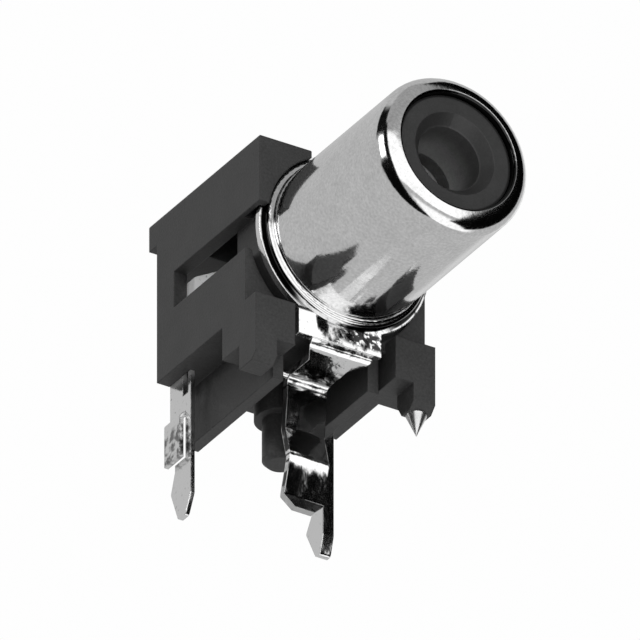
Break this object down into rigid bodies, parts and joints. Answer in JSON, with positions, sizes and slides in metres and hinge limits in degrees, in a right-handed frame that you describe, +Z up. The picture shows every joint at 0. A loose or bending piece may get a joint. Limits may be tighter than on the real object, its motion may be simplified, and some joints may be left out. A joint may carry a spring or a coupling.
{
  "type": "right-angle phono socket for a printed board",
  "caption": "Right-angle switched phono socket: plated barrel on a dark moulded housing, with a ground leg, rear pins and a locating peg for a printed board.",
  "frame": {"origin": "board's top face, under the socket's axis, at the front of the visor", "axes": "+Z up from the board, -Y out of the barrel's mouth, +X to the right as +Y is looked along"},
  "size_m": [0.01, 0.0199, 0.0175],
  "materials": {
    "dark_plastic": "matte",
    "insert_plastic": "satin",
    "nickel": "bright nickel plate",
    "tinned": "bright tin plate"
  },
  "bodies": {
    "root": {"housing": "dark_plastic", "barrel": "nickel", "insulating_insert": "insert_plastic", "ground_terminal": "tinned", "centre_contact": "tinned", "switch_contact": "tinned", "locating_spike": "tinned"}
  },
  "joints": []
}
